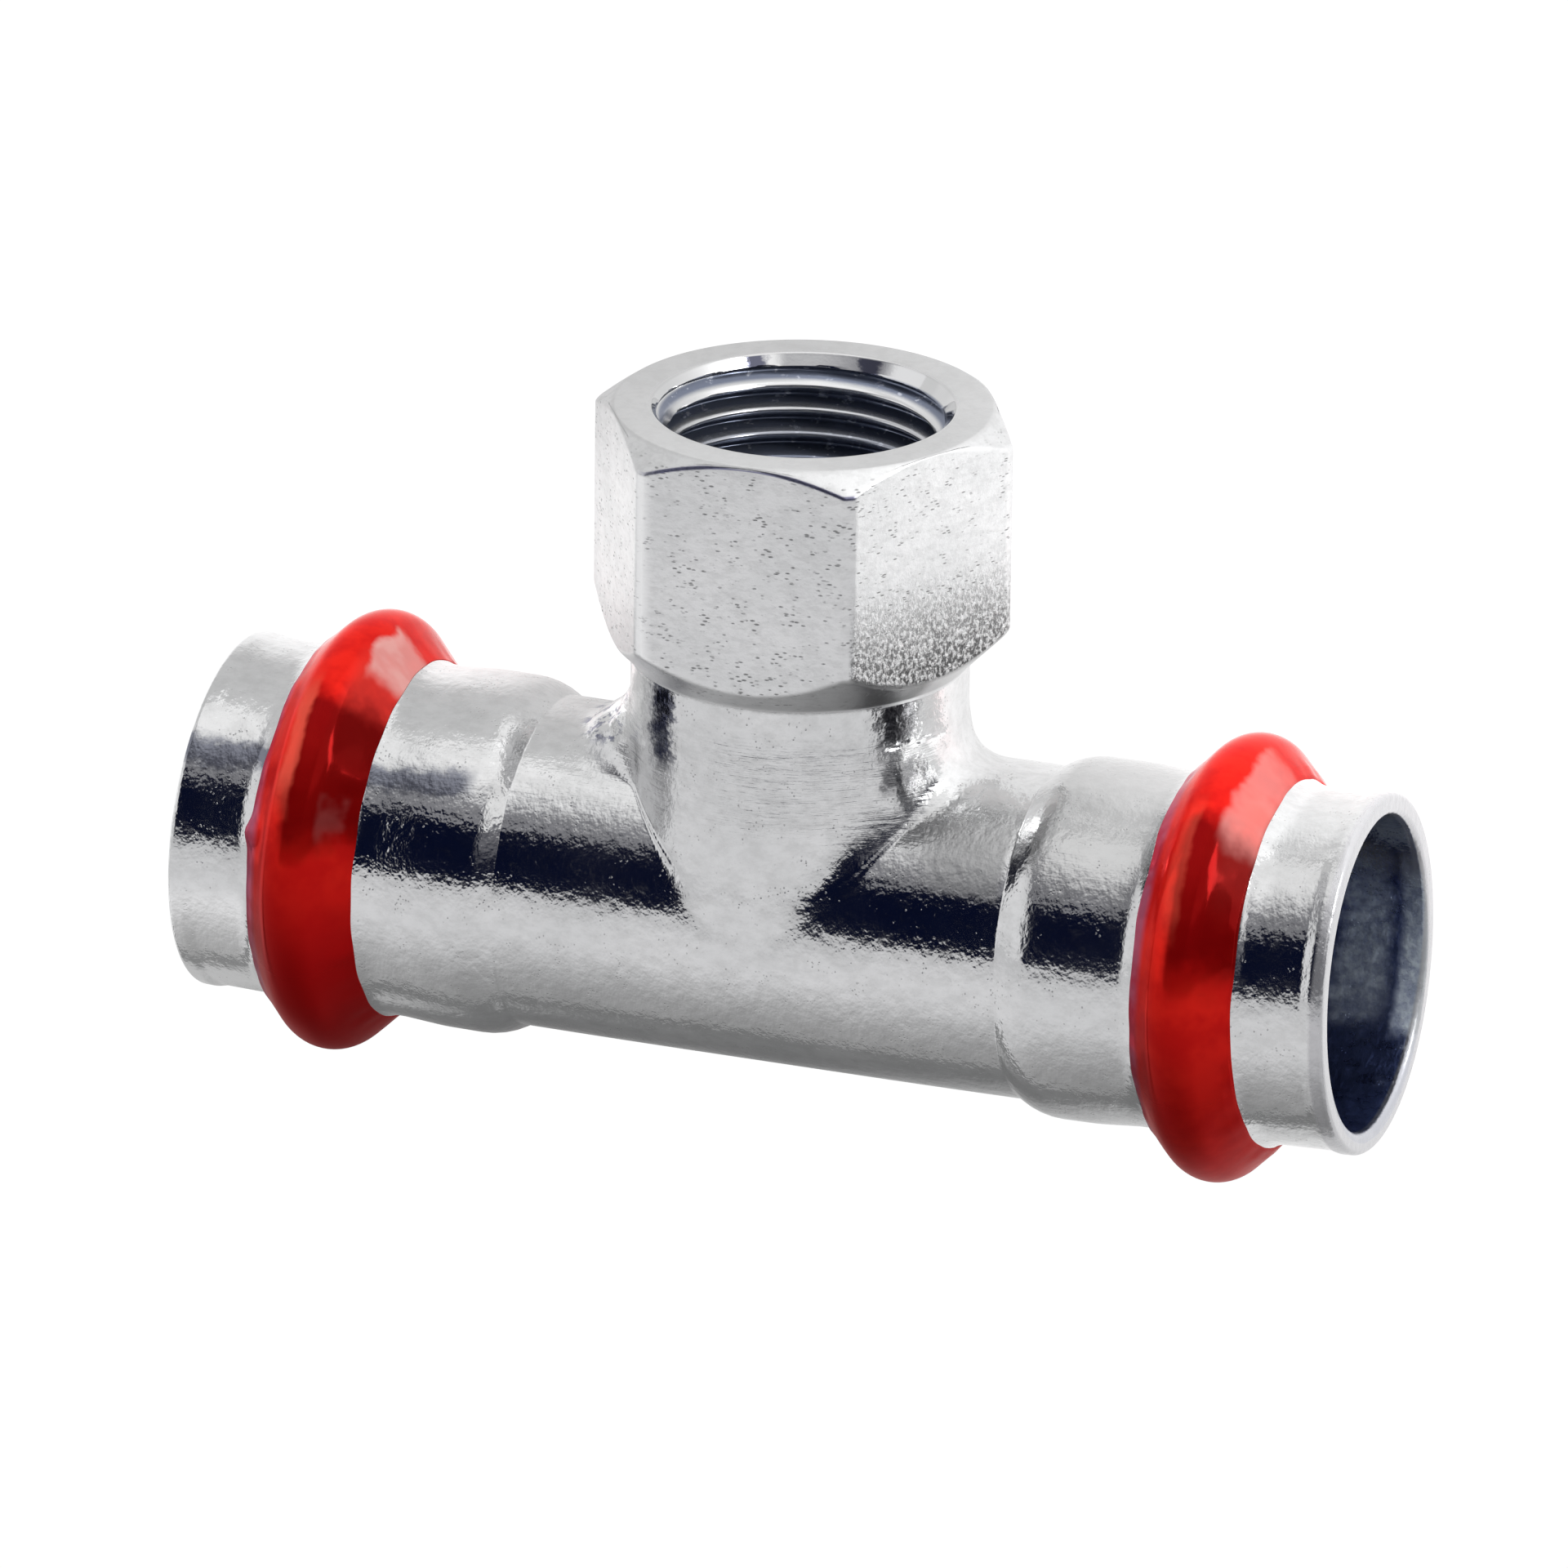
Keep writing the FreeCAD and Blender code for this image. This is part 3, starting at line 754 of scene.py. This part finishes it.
def red_film():
    """Glossy red film: bright red, with painted shade as a deeper red towards the front and
    underneath, a painted dark reflection left of the crest at the front, painted highlights on the
    right-hand flank, the crown, a few wrinkles and the shoulder near the top, and a purple haze at
    the left edge, which stands off the steel. The angle round the run is 0 towards the branch and
    grows to the front;
    across is the distance from the bead's middle towards the right."""
    material, shader, start, place = new_material("red_indicator_film")
    x, y, z = from_crossing(place)
    across = (x.size() - bead_place) * x.maths("SIGN", x)
    right = x.between(-1.0, 1.0)
    angle = z.degrees_from(y)
    crease = place.noise(260.0, 3.0, (0.5, 1.0, 1.0), 0.55)
    fine = place.noise(1500.0, 2.0)
    patch = place.noise(320.0, 3.0, roughness=0.6)
    broad = place.noise(140.0, 3.0, roughness=0.6)
    ragged = (patch - 0.5) * 10.0 + (broad - 0.5) * 14.0
    frayed = angle + ragged

    # Masks of painted light: a highlight on the right-hand flank, a dark reflection left of the crest
    # at the front, a highlight at the crown, highlights along wrinkles and a highlight on the
    # shoulder.
    flank_painted_highlight = (across + ragged * 0.05).between(1.0, 2.3) * frayed.band(8.0, 20.0, 38.0, 62.0)
    front_painted_dark_reflection = (across + ragged * 0.12).between(-1.3, -0.3) * frayed.between(27.0, 36.0)
    front_painted_dark_reflection = front_painted_dark_reflection * (angle + ragged * 1.4).between(80.0, 66.0)
    crown_painted_highlight = (across + ragged * 0.1).band(-1.7, -1.1, -0.4, 0.1) * frayed.band(22.0, 36.0, 54.0, 67.0)
    wrinkle_painted_highlights = (across + ragged * 0.06).band(1.7, 2.1, 3.5, 3.9) * (1.0 - right)
    wrinkle_painted_highlights = wrinkle_painted_highlights * (angle + ragged * 0.4).band(57.0, 60.0, 70.0, 74.0)
    wrinkle_painted_highlights = wrinkle_painted_highlights * crease.between(0.46, 0.62)
    shoulder_painted_highlight = (across + ragged * 0.15 + 0.9 * right).between(1.9, 2.5) * (0.95 - 0.50 * right)
    shoulder_painted_highlight = shoulder_painted_highlight * frayed.between(-9.0, -3.0) * (frayed - 16.0 * right).between(23.0, 15.0)
    shoulder_painted_highlight = shoulder_painted_highlight * (0.72 + 0.28 * crease.between(0.42, 0.60))
    haze = crease.between(0.35, 0.62).mixed((0.42, 0.03, 0.08, 1.0), (0.44, 0.15, 0.26, 1.0))

    base = patch.between(0.35, 0.65).mixed((0.96, 0.022, 0.013, 1.0), (0.76, 0.011, 0.009, 1.0))
    # Deeper red towards the front and underneath: painted shade.
    base = (angle.between(60.0, 110.0) * (1.0 - 0.5 * right)).mixed(base, (0.58, 0.004, 0.005, 1.0))
    # A lighter red on the right-hand flank: painted highlight.
    base = (flank_painted_highlight * (0.15 + 0.35 * right)).mixed(base, (1.0, 0.20, 0.16, 1.0))
    # A near-black red left of the crest at the front: painted dark reflection.
    base = (front_painted_dark_reflection * 0.9).mixed(base, (0.20, 0.001, 0.002, 1.0))
    # A lighter red at the crown: painted highlight.
    base = (crown_painted_highlight * (0.75 - 0.45 * right)).mixed(base, (1.0, 0.12, 0.075, 1.0))
    # Pale lines along the wrinkles: painted highlights.
    base = (wrinkle_painted_highlights * 0.12).mixed(base, (0.90, 0.36, 0.34, 1.0))
    # A pale field on the shoulder near the top: painted highlight.
    base = shoulder_painted_highlight.mixed(base, (1.0, 0.50, 0.46, 1.0))
    base = (across.between(-2.5, -3.3) * 0.75).mixed(base, haze)
    normal = bumps(start, [(crease, 0.04), (fine, 0.0015)])
    rough = 0.09 + 0.06 * patch + 0.22 * angle.between(95.0, 120.0)
    feed(start.tree, shader, {
        "Base Color": base, "Metallic": 0.25, "Roughness": rough, "Normal": normal, "IOR": 1.5,
        "Specular IOR Level": 0.06, "Specular Tint": (1.0, 0.42, 0.38, 1.0)})
    return material


film = red_film()
for side, label in ((1, "right"), (-1, "left")):
    film_grids = [(film_ring(side), "ring")]
    ring = made_piece("red_film_" + label, film_grids, film, "indicator_" + label)
    ring.visible_glossy = False


# Threaded end
# Turned from hexagon bar: a round neck, six flats for a spanner, chamfered at the top and coned
# at the foot, and a tapped pipe thread with a countersunk mouth. Satin zinc, specked and grainy.
face_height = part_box("threaded_branch")[1].y / MILLIMETRE - axis_place
end_rows = 34
end_gather = 1.6
hex_foot = 18.6
flat_reach = 13.5
corner_round = 1.1
corner_reach = 15.35
face_reach = 13.35
face_slope = 1.35 / 1.95
first_corner = math.radians(32.0)
seam_head = 14.8
thread_pitch = 1.814
thread_minor = mounts["branch_thread"]["dims"]["r_mm"]
thread_deep = 1.162
thread_floor = face_height - 16.5
sink_reach = 10.75
sink_inner = 10.10
sink_depth = 0.90
throat_reach = 9.0
thread_start = 0.06
neck_top = hex_foot - 1.6

# The columns round the end, which crowd towards the hexagon's corners.
sixth = math.radians(60.0)
per_flat = 42
crowding = 0.7
sector = np.arange(per_flat) / per_flat
sector = sector - crowding * np.sin(2.0 * math.pi * sector) / (2.0 * math.pi)
end_angle = first_corner + sixth * (np.arange(6)[:, None] + sector).ravel()


def hexagon(angle):
    """Distance from the axis to a hexagon with rounded corners: flat_reach over the cosine from
    the flat's middle, and near a corner the farther crossing of the ray with the corner's circle."""
    half = sixth / 2.0
    from_corner = np.abs((angle - first_corner + half) % sixth - half)
    flat = flat_reach / np.cos(half - from_corner)
    centre = (flat_reach - corner_round) / math.cos(half)
    inside = np.maximum(corner_round ** 2 - (centre * np.sin(from_corner)) ** 2, 0.0)
    corner = centre * np.cos(from_corner) + np.sqrt(inside)
    tangent = math.atan((flat_reach - corner_round) * math.tan(half) / flat_reach)
    on_corner = half - from_corner > tangent
    return np.minimum(np.where(on_corner, corner, flat), corner_reach)


def softened(before, corner, after, cut, steps=4):
    """A corner of every column's outline, each a (height, radius) pair, cut back on both sides and
    joined by a parabola. The cut never takes more than 0.45 of a side."""
    back = before - corner
    onward = after - corner
    back_long = np.linalg.norm(back, axis=0)
    onward_long = np.linalg.norm(onward, axis=0)
    reach = np.minimum(cut, 0.45 * np.minimum(back_long, onward_long))
    first = corner + back / back_long * reach
    last = corner + onward / onward_long * reach
    share = np.linspace(0.0, 1.0, steps + 1)[:, None, None]
    return (1.0 - share) ** 2 * first + 2.0 * share * (1.0 - share) * corner + share ** 2 * last


def run_between(start, stop, steps):
    """Rows strictly between two corners of every column's outline."""
    share = np.linspace(0.0, 1.0, steps + 2)[1:-1, None, None]
    return start + (stop - start) * share


def threaded_end():
    """Rings up the neck on the shared skin, over the cone, the flats, the chamfer, the face and the
    edge of the countersink; then the thread; then the throat and out over the joint's bevel."""
    hex_reach = hexagon(end_angle)
    level = np.ones(len(end_angle))
    share = np.linspace(0.0, 1.0, end_rows)[:, None] ** end_gather
    up = seam_head + (neck_top - seam_head) * share
    neck = settled(round_branch(up, neck_radius, end_angle), round_branch(0.0 * up, 1.0, end_angle))
    low = np.stack([neck_top * level, neck_radius * level])
    foot = np.stack([hex_foot * level, neck_radius * level])
    cone = np.stack([hex_foot + hex_reach - neck_radius, hex_reach])
    chamfer = np.stack([face_height - (hex_reach - face_reach) * face_slope, hex_reach])
    rim = np.stack([face_height * level, face_reach * level])
    sink = np.stack([face_height * level, sink_reach * level])
    deep = np.stack([(face_height - sink_depth) * level, sink_inner * level])
    outline = np.concatenate([
        softened(low, foot, cone, 0.35),
        run_between(foot, cone, 3),
        softened(foot, cone, chamfer, 0.30),
        run_between(cone, chamfer, 16),
        softened(cone, chamfer, rim, 0.28),
        run_between(chamfer, rim, 2),
        softened(chamfer, rim, sink, 0.10),
        run_between(rim, sink, 5),
        softened(rim, sink, deep, 0.10),
    ])
    body = round_branch(outline[:, 0], outline[:, 1], end_angle)
    throat = rounded_line([
        (thread_floor, thread_minor, 0.0),
        (thread_floor - 1.15, throat_reach, 0.5),
        (joint_height, throat_reach, 0.3),
        (joint_height, joint_root, 0.0),
    ])
    inside = round_branch(throat[:, :1], throat[:, 1:], end_angle)
    under = np.concatenate([inside, neck[:1]])
    thread = thread_sheet(outline[-1, 0, 0], outline[-1, 1, 0])
    return [(np.concatenate([neck, body]), "round"), (thread, "round"), (under, "round")]


def thread_sheet(mouth_height, mouth_reach):
    """The tapped hole from its mouth to its floor. The radius is the larger of the countersink's
    cone and the thread: a rounded triangle wave of height plus pitch times the angle's share of a
    turn, which climbs to the right as a right-hand thread does and dies out towards the floor."""
    rows_a_pitch = 22
    swing = 0.88
    run_out = 2.2
    rows = math.ceil((mouth_height - thread_floor) / thread_pitch * rows_a_pitch)
    height = np.linspace(mouth_height, thread_floor, rows + 1)[:, None]
    turn = (face_height - height) / thread_pitch + end_angle / (2.0 * math.pi) + thread_start
    wave = np.arcsin(swing * np.sin(2.0 * math.pi * turn)) / math.asin(swing)
    fade = smooth_step((height - thread_floor) / run_out)
    radius = thread_minor + thread_deep * (0.5 + 0.5 * wave) * fade
    cone = mouth_reach - (mouth_height - height) * (sink_reach - sink_inner) / sink_depth
    radius = np.maximum(radius, cone)
    radius[0] = mouth_reach
    return round_branch(height, radius, end_angle)


def painted_reflections_on_end(base, turn, out, y, sink, mottle):
    """Painted reflections over the zinc: two navy streaks at the back of the countersink, a thin navy
    line along the foot of the front's chamfer, a pale left-hand corner as a painted highlight, and a
    cone painted pale on the left, dark at the front right and grey on the right. Turn goes from the
    front to the right."""
    # Two navy streaks painted in the countersink: painted reflections.
    drift = turn + 9.0 * (mottle - 0.5)
    navy_painted_streaks = drift.band(-147.0, -143.0, -139.0, -134.0)
    navy_painted_streaks = navy_painted_streaks.larger(drift.band(167.0, 171.0, 176.0, 179.0))
    base = (navy_painted_streaks * sink * y.between(36.98, 36.90) * 0.85).mixed(base, (0.03, 0.035, 0.10, 1.0))
    # A navy line painted along the foot of the front's chamfer: a painted reflection.
    below = y + face_slope * out - (face_height + face_slope * face_reach)
    chamfer_painted_line = below.band(-0.24, -0.16, -0.05, -0.01) * y.between(36.9, 36.8)
    chamfer_painted_line = chamfer_painted_line * turn.band(-30.0, -22.0, 32.5, 34.5)
    base = (chamfer_painted_line * 0.75).mixed(base, (0.09, 0.09, 0.24, 1.0))
    # The left-hand corner painted pale: a painted highlight.
    corner = turn.band(-30.0, -28.0, -27.0, -23.5) * y.band(20.0, 21.0, 35.3, 35.6)
    base = (corner * 0.9).mixed(base, grey(0.97))
    # The cone painted pale on the left, grey on the right and dark at the front right: painted
    # reflections.
    cone = (y - out).between(7.0, 6.75) * y.between(18.6, 18.8)
    base = (cone * turn.band(-56.0, -46.0, -34.0, -16.0)).mixed(base, grey(0.98))
    base = (cone * turn.between(58.0, 64.0)).mixed(base, grey(0.66))
    return (cone * turn.band(12.0, 46.0, 59.0, 66.0) * 0.85).mixed(base, grey(0.22))


def satin_zinc():
    """Zinc on turned steel: a satin metal with dark specks drawn out across the flats, a coarse
    grain at the foot of the right-hand flats where the bar's own skin was left, and inside the
    thread a smoother, less metallic surface, painted darker and bluish as shade, with pale flecks."""
    material, shader, start, place = new_material("satin_zinc_on_hexagon")
    x, y, z = from_crossing(place)
    out = (x * x + z * z) ** 0.5
    thread = out.between(11.0, 10.6) * y.between(17.0, 20.0)
    crest = out.between(9.95, 9.55) * y.between(29.0, 35.0)
    sink = out.between(10.85, 10.75) * y.between(36.0, 36.15)
    plain = (1.0 - thread) * y.between(18.6, 19.4)
    fine = place.noise(2600.0, 3.0, roughness=0.65)
    cloud = place.noise(160.0, 3.0)
    mottle = place.noise(1300.0, 3.0, (0.7, 1.4, 0.7), 0.7)
    drawn = start.node("ShaderNodeMapping", None, {
        "Vector": place, "Scale": (0.5, 1.6, 0.5), "Rotation": (0.0, 0.0, 0.25)})
    speck = drawn.specks(2900.0)
    chosen = place.noise(900.0, 2.0)
    pit = speck.between(0.36, 0.14) * chosen.between(0.45, 0.62) * plain * y.between(36.9, 36.0)
    coarse = place.noise(3500.0, 3.0, (1.0, 0.8, 1.0), 0.65)
    bar_skin = (y + 3.0 * (chosen - 0.5)).between(29.6, 20.4) * x.between(8.1, 8.5)
    bar_skin = bar_skin * plain * (y - out).between(6.7, 7.0)
    normal = bumps(start, [
        (fine * (1.0 - 0.85 * thread), 0.022), (mottle * plain, 0.020), (1.0 - pit, 0.016),
        (coarse * bar_skin, 0.25)])

    base = zinc(cloud, 0.81, 0.76)
    base = (mottle.between(0.40, 0.66) * plain * 0.35).mixed(base, grey(0.55))
    base = (pit * 0.70).mixed(base, grey(0.16))
    base = (bar_skin * coarse.between(0.62, 0.40)).mixed(base, grey(0.11))
    base = (y.between(36.85, 37.0) * 0.5).mixed(base, grey(0.64))
    # Inside the thread the zinc is painted darker and bluish as shade, with pale bluish flecks.
    thread_painted_shade = thread * y.between(36.2, 36.0) * (1.0 - crest)
    base = thread_painted_shade.mixed(base, grey(0.24, (0.82, 0.93, 1.25)))
    base = (thread_painted_shade * mottle.between(0.57, 0.66) * 0.8).mixed(base, grey(0.75, (0.92, 0.96, 1.08)))
    # Reflections painted on the countersink, the chamfer's foot, the left-hand corner and the cone.
    base = painted_reflections_on_end(base, x.degrees_from(z), out, y, sink, mottle)
    rough = 0.30 + 0.08 * cloud + 0.15 * pit - 0.16 * thread - 0.14 * sink
    metal = 1.0 - 0.30 * thread_painted_shade
    sockets = {"Base Color": base, "Metallic": metal, "Roughness": rough, "Normal": normal}
    feed(start.tree, shader, sockets)
    return material


ground_zinc = plated_steel("ground_zinc_on_neck_and_weld", 0.11)
end_piece = made_piece(
    "threaded_end", threaded_end(), satin_zinc(), "threaded_branch",
    crease=math.radians(50.0))
end_piece.data.materials.append(ground_zinc)

# The faces of the neck take the ground zinc.
centres = np.empty(3 * len(end_piece.data.polygons))
end_piece.data.polygons.foreach_get("center", centres)
centres = centres.reshape(-1, 3) / MILLIMETRE - np.array([0.0, axis_place, axis_height])
on_neck = (centres[:, 1] < hex_foot - 0.1) & (np.hypot(centres[:, 0], centres[:, 2]) > joint_root)
end_piece.data.polygons.foreach_set("material_index", on_neck.astype(np.int32))


# Weld seam
# The ring of weld metal that joins the branch to the drawn collar, laid in the bevel between them
# and ground off flush by hand before plating, except in the left crotch.
seam_rows = 14


def seam_ring():
    """Rings on the shared skin from the weld's lower edge to its upper one, closed at the root."""
    share = np.linspace(0.0, 1.0, seam_rows)[:, None]
    low = seam_foot(ring_angle)
    up = low + (seam_head - low) * share
    way = round_branch(0.0 * up, 1.0, ring_angle)
    face = settled(round_branch(up, neck_radius, ring_angle), way)
    root = round_branch(joint_height, joint_root * np.ones((1, 1)), ring_angle)
    return np.concatenate([face, root])


made_piece("weld_seam_ring", [(seam_ring(), "ring")], ground_zinc, "weld_seam")


# Studio
# A pale floor, a broad soft lamp beyond the branch, another low on the right, and a pale surround
# with one near-black field towards the branch's side, which draws the dark bands along the tube.
def pale_floor():
    """A flat disc of matt white, which the camera sees lit up to white. Polished metal sees soft
    fields of light on it instead: x to the right and y to the branch's side, in metres."""
    size = 3.0
    corners = 96
    angle = 2.0 * math.pi * np.arange(corners) / corners
    rim = np.stack([size * np.cos(angle), size * np.sin(angle), 0.0 * angle], axis=-1)
    mesh = bpy.data.meshes.new("floor")
    mesh.from_pydata(rim.tolist(), [], [list(range(corners))])
    floor = new_object("floor", mesh)
    material, shader, start, place = new_material("pale_floor")
    tree = material.node_tree
    tree.nodes.remove(shader)
    x, y = place.parts()[:2]
    camera, glossy, clear = start.rays("Camera", "Glossy", "Transmission")
    far_side = y.between(-0.050, 0.010) * 0.62
    near_side = y.between(-0.010, -0.030) * 0.16
    right_side = x.between(-0.010, 0.040) * y.between(-0.26, -0.11) * 0.69
    end_left = x.between(-0.042, -0.056) * y.band(-0.16, -0.08, -0.034, -0.008) * 0.28
    behind = x.band(-0.028, -0.016, -0.007, 0.002) * y.between(0.025, 0.060) * 0.45
    left_side = x.between(-0.018, -0.034) * y.band(-0.022, -0.014, 0.005, 0.020) * 0.50
    far_left = x.between(-0.090, -0.130) * y.band(-0.130, -0.100, 0.005, 0.020) * 0.75
    fields = far_side + right_side + near_side + end_left + behind + left_side.larger(far_left)
    matt_colour = camera.mixed(grey(0.86), grey(0.20))
    matt_colour = glossy.mixed(matt_colour, grey(0.34))
    matt = start.node("ShaderNodeBsdfDiffuse", None, {"Color": matt_colour})
    strength = camera * 0.98 + (glossy + clear) * fields
    glow = start.node("ShaderNodeEmission", None, {"Color": grey(1.0), "Strength": strength})
    shown = start.node("ShaderNodeAddShader", None, {0: matt, 1: glow})
    feed(tree, tree.nodes["Material Output"], {"Surface": shown})
    mesh.materials.append(material)


pale_floor()


def surround():
    """The world's light by its direction: x to the right and y to the branch's side. Below y 0 it
    is pale grey. Above, it is near black with a grey field on the right, then dim from y 0.60 and
    white from 0.92, and pale at the far left. Matt surfaces get less light from below y 0.70, and
    the camera sees white."""
    world = bpy.data.worlds.new("soft_surround")
    bpy.context.scene.world = world
    world.use_nodes = True
    tree = world.node_tree
    start = Wire(tree)
    way = start.node("ShaderNodeTexCoord", output="Generated")
    x, y = way.parts()[:2]
    matt, camera = start.rays("Diffuse", "Camera")
    pale = (0.90, 0.90, 0.91, 1.0)
    table = y.between(-0.50, -1.10).mixed((0.84, 0.84, 0.85, 1.0), grey(0.30))
    table = y.between(-0.36, -0.05).mixed(table, (0.70, 0.70, 0.71, 1.0))
    room = x.between(-0.50, -0.70).mixed((0.002, 0.004, 0.019, 1.0), pale)
    room = (x.between(0.28, 0.48) * y.between(0.10, 0.45)).mixed(room, (0.17, 0.17, 0.19, 1.0))
    above = y.between(0.590, 0.615).mixed(room, (0.27, 0.27, 0.29, 1.0))
    above = (y.between(0.46, 0.58) * x.between(0.36, 0.50)).mixed(above, grey(1.0))
    above = x.between(-0.58, -0.76).mixed(above, pale)
    above = y.between(0.69, 0.92).mixed(above, grey(1.12))
    colour = y.between(-0.06, 0.02).mixed(table, above)
    colour = (matt * y.between(0.80, 0.70)).mixed(colour, (0.10, 0.105, 0.11, 1.0))
    colour = camera.mixed(colour, grey(1.0))
    feed(tree, tree.nodes["Background"], {"Color": colour, "Strength": 1.0})


surround()


def soft_lamp(name, place, aim, width, height, power):
    """A rectangular area lamp at a place, turned to face the aim."""
    lamp = bpy.data.lights.new(name, "AREA")
    lamp.shape = "RECTANGLE"
    lamp.size = width
    lamp.size_y = height
    lamp.energy = power
    holder = new_object(name, lamp)
    facing = (Vector(aim) - Vector(place)).to_track_quat("-Z", "Y")
    holder.matrix_world = Matrix.Translation(place) @ facing.to_matrix().to_4x4()
    return holder


beyond = soft_lamp("lamp_beyond_branch", (-0.05, 0.95, 0.16), (0.0, 0.0, 0.0), 0.8, 0.30, 6.0)
beyond.visible_glossy = False
soft_lamp("lamp_low_right", (0.66, 0.50, 0.10), (0.0, 0.0, 0.01), 0.32, 0.20, 1.5)


# Camera
# A long lens well away from the fitting, a third of the way round from its front to its right end
# and a little above it, tipped by less than a degree.
turn_right = math.radians(19.645)
turn_up = math.radians(21.463)
tip_over = math.radians(-0.757)
camera_far = 1146.8
aim_up_branch = 8.0
picture_wide = 1920.0
pixels_per_millimetre = 17.365
middle_across = 977.98
middle_down = 968.82

# The lens is shifted, so that its axis meets the picture at the two middles.
toward = Vector((
    math.sin(turn_right) * math.cos(turn_up),
    math.sin(turn_up),
    math.cos(turn_right) * math.cos(turn_up),
))
level_right = Vector((0.0, 1.0, 0.0)).cross(toward).normalized()
level_up = toward.cross(level_right)
right = level_right * math.cos(tip_over) - level_up * math.sin(tip_over)
up = level_right * math.sin(tip_over) + level_up * math.cos(tip_over)
target = Vector((0.0, axis_place + aim_up_branch, axis_height)) * MILLIMETRE
lens = bpy.data.cameras.new("camera")
lens.sensor_width = 36.0
lens.lens = pixels_per_millimetre * camera_far * lens.sensor_width / picture_wide
lens.shift_x = (picture_wide / 2.0 - middle_across) / picture_wide
lens.shift_y = (middle_down - picture_wide / 2.0) / picture_wide
lens.clip_start = 0.05
camera = new_object("camera", lens)
turned_frame = Matrix((right, up, toward)).transposed().to_4x4()
camera.matrix_world = Matrix.Translation(target + toward * camera_far * MILLIMETRE) @ turned_frame
bpy.context.scene.camera = camera
bpy.context.scene.view_settings.view_transform = "Standard"
